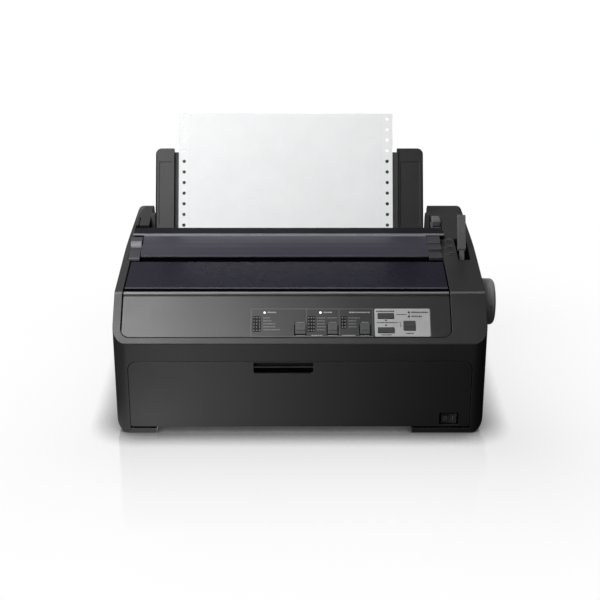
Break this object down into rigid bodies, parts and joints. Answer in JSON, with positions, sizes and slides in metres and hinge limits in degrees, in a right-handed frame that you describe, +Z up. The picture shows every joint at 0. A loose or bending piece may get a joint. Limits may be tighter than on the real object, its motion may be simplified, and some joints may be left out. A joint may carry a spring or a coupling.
{
  "type": "dot matrix printer",
  "caption": "Low wide office impact printer with sloping key panel, hinged smoked covers, raised rear paper guide, side knob and a sheet of holed continuous paper.",
  "frame": {"origin": "centre of the footprint of the whole object's box, on the surface that it stands on", "axes": "+X to the right seen from the front, along the platen; +Y from the front face to the paper entry at the back; +Z up"},
  "size_m": [0.4166, 0.2826, 0.2781],
  "materials": {
    "housing_black": "fine moulded texture, satin",
    "case_black": "fine moulded texture, matt",
    "panel_black": "smooth semi-gloss",
    "label_silver": "satin silver film with plain bars",
    "key_grey": "fine satin",
    "key_dark": "soft matt",
    "light_clear": "clear light pipe",
    "smoked": "smoked translucent, glossy",
    "tab_grey": "satin",
    "guide_grey": "fine moulded texture",
    "paper_white": "matt continuous paper",
    "frame_steel": "zinc plated sheet",
    "rod_steel": "ground rod",
    "platen_rubber": "ground rubber",
    "gear_nylon": "natural nylon",
    "brass": "machined",
    "knob_grey": "fine satin",
    "motor_black": "black oxide with steel caps",
    "board_green": "solder-masked board",
    "carriage_grey": "glass-filled moulding",
    "head_metal": "cast, black-grey",
    "flex_cable": "flat film cable",
    "belt_rubber": "toothed belt",
    "lever_grey": "satin",
    "lever_blue": "satin",
    "foot_rubber": "soft rubber",
    "socket_black": "smooth",
    "supply_mixed": "board with transformer",
    "screw_steel": "zinc plated"
  },
  "bodies": {
    "base": {"lower_case": "case_black", "upper_housing": "housing_black", "rubber_feet": "foot_rubber", "control_panel": "panel_black", "panel_label": "label_silver", "status_lights": "light_clear", "circuit_boards": "board_green", "guide_brackets": "case_black", "chassis_pan": "frame_steel", "side_frame_left": "frame_steel", "side_frame_right": "frame_steel", "guide_rods": "rod_steel", "paper_path_plate": "frame_steel", "platen_bushings": "gear_nylon", "stepper_motors": "motor_black", "timing_belt": "belt_rubber", "ribbon_cartridge": "case_black", "power_supply": "supply_mixed", "rear_sockets": "socket_black", "screws": "screw_steel"},
    "front_cover": {"front_cover": "case_black"},
    "printer_cover": {"printer_cover": "smoked"},
    "tension_unit": {"tension_unit": "smoked", "tension_tabs": "tab_grey", "tear_off_edge": "smoked"},
    "tension_rollers": {"tension_rollers": "platen_rubber"},
    "paper_guide": {"paper_guide": "guide_grey"},
    "edge_guide_left": {"edge_guide_left": "guide_grey"},
    "edge_guide_right": {"edge_guide_right": "guide_grey"},
    "paper": {"fanfold_paper": "paper_white"},
    "platen": {"platen_roller": "platen_rubber", "platen_shaft": "rod_steel", "platen_gear": "gear_nylon", "platen_knob": "knob_grey"},
    "motor_pinion": {"motor_pinion": "brass"},
    "idler_gear": {"idler_gear": "gear_nylon"},
    "tractor_idler_gear": {"tractor_idler_gear": "gear_nylon"},
    "tractor_drive": {"tractor_shaft": "rod_steel", "tractor_gear": "gear_nylon"},
    "tractor_left": {"tractor_left": "carriage_grey"},
    "tractor_right": {"tractor_right": "carriage_grey"},
    "tractor_wheel_left": {"tractor_wheel_left": "gear_nylon"},
    "tractor_wheel_right": {"tractor_wheel_right": "gear_nylon"},
    "tractor_flap_left": {"tractor_flap_left": "carriage_grey"},
    "tractor_flap_right": {"tractor_flap_right": "carriage_grey"},
    "carriage": {"carriage": "carriage_grey", "print_head": "head_metal", "head_cable": "flex_cable"},
    "drive_pulley": {"drive_pulley": "brass"},
    "idler_pulley": {"idler_pulley": "brass"},
    "ribbon_knob": {"ribbon_knob": "key_grey"},
    "release_lever": {"release_lever": "lever_grey"},
    "thickness_lever": {"thickness_lever": "lever_blue"},
    "power_rocker": {"power_rocker": "key_grey"},
    "key_left": {"key_left": "key_grey"},
    "key_middle": {"key_middle": "key_grey"},
    "key_right": {"key_right": "key_grey"},
    "feed_key": {"feed_key": "key_dark"},
    "load_key": {"load_key": "key_dark"},
    "pause_key": {"pause_key": "key_dark"}
  },
  "joints": [
    {"name": "front_cover_hinge", "type": "hinge", "parent": "base", "child": "front_cover", "pos_m": [-0.01075, -0.13875, 0.0088], "axis": [1, 0, 0], "range_deg": [0, 85]},
    {"name": "printer_cover_hinge", "type": "hinge", "parent": "base", "child": "printer_cover", "pos_m": [-0.02275, -0.02835, 0.1484], "axis": [-1, 0, 0], "range_deg": [0, 92]},
    {"name": "tension_unit_hinge", "type": "hinge", "parent": "base", "child": "tension_unit", "pos_m": [-0.02275, 0.05665, 0.155], "axis": [-1, 0, 0], "range_deg": [0, 60]},
    {"name": "tension_roller_spin", "type": "hinge", "parent": "tension_unit", "child": "tension_rollers", "pos_m": [-0.02275, 0.00465, 0.145], "axis": [1, 0, 0], "continuous": true},
    {"name": "paper_guide_hinge", "type": "hinge", "parent": "base", "child": "paper_guide", "pos_m": [-0.02275, 0.09065, 0.142], "axis": [-1, 0, 0], "range_deg": [0, 60]},
    {"name": "edge_guide_left_slide", "type": "slide", "parent": "paper_guide", "child": "edge_guide_left", "axis": [1, 0, 0], "range_m": [0, 0.0045]},
    {"name": "edge_guide_right_slide", "type": "slide", "parent": "paper_guide", "child": "edge_guide_right", "axis": [1, 0, 0], "range_m": [-0.0045, 0.0025]},
    {"name": "paper_feed_slide", "type": "slide", "parent": "base", "child": "paper", "axis": [0, 0.4384, 0.8988], "range_m": [0, 0.1]},
    {"name": "platen_spin", "type": "hinge", "parent": "base", "child": "platen", "pos_m": [-0.02275, -0.01535, 0.101], "axis": [1, 0, 0], "continuous": true},
    {"name": "idler_gear_spin", "type": "hinge", "parent": "base", "child": "idler_gear", "pos_m": [-0.18975, 0.00715, 0.06203], "axis": [1, 0, 0], "continuous": true},
    {"name": "motor_pinion_spin", "type": "hinge", "parent": "base", "child": "motor_pinion", "pos_m": [-0.18975, 0.0297, 0.05382], "axis": [1, 0, 0], "continuous": true},
    {"name": "tractor_idler_spin", "type": "hinge", "parent": "base", "child": "tractor_idler_gear", "pos_m": [-0.18975, 0.03254, 0.10435], "axis": [1, 0, 0], "continuous": true},
    {"name": "tractor_shaft_spin", "type": "hinge", "parent": "base", "child": "tractor_drive", "pos_m": [-0.02275, 0.07044, 0.107], "axis": [1, 0, 0], "continuous": true},
    {"name": "tractor_left_slide", "type": "slide", "parent": "base", "child": "tractor_left", "axis": [1, 0, 0], "range_m": [-0.008, 0.003]},
    {"name": "tractor_right_slide", "type": "slide", "parent": "base", "child": "tractor_right", "axis": [1, 0, 0], "range_m": [-0.003, 0.022]},
    {"name": "tractor_wheel_left_spin", "type": "hinge", "parent": "tractor_left", "child": "tractor_wheel_left", "pos_m": [-0.1484, 0.07044, 0.107], "axis": [1, 0, 0], "continuous": true},
    {"name": "tractor_wheel_right_spin", "type": "hinge", "parent": "tractor_right", "child": "tractor_wheel_right", "pos_m": [0.0929, 0.07044, 0.107], "axis": [1, 0, 0], "continuous": true},
    {"name": "tractor_flap_left_hinge", "type": "hinge", "parent": "tractor_left", "child": "tractor_flap_left", "pos_m": [-0.1654, 0.05577, 0.11051], "axis": [0, -0.4384, -0.8988], "range_deg": [0, 90]},
    {"name": "tractor_flap_right_hinge", "type": "hinge", "parent": "tractor_right", "child": "tractor_flap_right", "pos_m": [0.1099, 0.05577, 0.11051], "axis": [0, 0.4384, 0.8988], "range_deg": [0, 90]},
    {"name": "carriage_slide", "type": "slide", "parent": "base", "child": "carriage", "axis": [1, 0, 0], "range_m": [0, 0.208]},
    {"name": "drive_pulley_spin", "type": "hinge", "parent": "base", "child": "drive_pulley", "pos_m": [-0.15375, -0.10135, 0.076], "axis": [0, 0, 1], "range_deg": [-1760, 0]},
    {"name": "idler_pulley_spin", "type": "hinge", "parent": "base", "child": "idler_pulley", "pos_m": [0.12125, -0.10135, 0.076], "axis": [0, 0, 1], "range_deg": [-1760, 0]},
    {"name": "ribbon_knob_spin", "type": "hinge", "parent": "base", "child": "ribbon_knob", "pos_m": [-0.07075, -0.07735, 0.137], "axis": [0, 0, 1], "continuous": true},
    {"name": "release_lever_hinge", "type": "hinge", "parent": "base", "child": "release_lever", "pos_m": [0.17185, -0.01395, 0.122], "axis": [-1, 0, 0], "range_deg": [-28, 16]},
    {"name": "thickness_lever_hinge", "type": "hinge", "parent": "base", "child": "thickness_lever", "pos_m": [-0.17275, -0.04335, 0.12], "axis": [-1, 0, 0], "range_deg": [-6, 10]},
    {"name": "power_rocker_hinge", "type": "hinge", "parent": "base", "child": "power_rocker", "pos_m": [0.14875, -0.13335, 0.017], "axis": [0, 0, 1], "range_deg": [0, 14]},
    {"name": "key_left_press", "type": "slide", "parent": "base", "child": "key_left", "axis": [0, 0.6947, -0.7193], "range_m": [0, 0.0012], "stiffness_N_per_m": 250, "springref_m": -0.002},
    {"name": "key_middle_press", "type": "slide", "parent": "base", "child": "key_middle", "axis": [0, 0.6947, -0.7193], "range_m": [0, 0.0012], "stiffness_N_per_m": 250, "springref_m": -0.002},
    {"name": "key_right_press", "type": "slide", "parent": "base", "child": "key_right", "axis": [0, 0.6947, -0.7193], "range_m": [0, 0.0012], "stiffness_N_per_m": 250, "springref_m": -0.002},
    {"name": "feed_key_press", "type": "slide", "parent": "base", "child": "feed_key", "axis": [0, 0.6947, -0.7193], "range_m": [0, 0.0012], "stiffness_N_per_m": 250, "springref_m": -0.002},
    {"name": "load_key_press", "type": "slide", "parent": "base", "child": "load_key", "axis": [0, 0.6947, -0.7193], "range_m": [0, 0.0012], "stiffness_N_per_m": 250, "springref_m": -0.002},
    {"name": "pause_key_press", "type": "slide", "parent": "base", "child": "pause_key", "axis": [0, 0.6947, -0.7193], "range_m": [0, 0.0012], "stiffness_N_per_m": 250, "springref_m": -0.002}
  ],
  "couplings": [
    {"joint": "idler_gear_spin", "follows": "platen_spin", "ratio": -2},
    {"joint": "motor_pinion_spin", "follows": "platen_spin", "ratio": 3.3333},
    {"joint": "tractor_idler_spin", "follows": "platen_spin", "ratio": -1.6667},
    {"joint": "tractor_shaft_spin", "follows": "platen_spin", "ratio": 1.5},
    {"joint": "tractor_wheel_left_spin", "follows": "platen_spin", "ratio": 1.5},
    {"joint": "tractor_wheel_right_spin", "follows": "platen_spin", "ratio": 1.5},
    {"joint": "drive_pulley_spin", "follows": "carriage_slide", "rad_per_m": -145.99},
    {"joint": "idler_pulley_spin", "follows": "carriage_slide", "rad_per_m": -145.99}
  ]
}
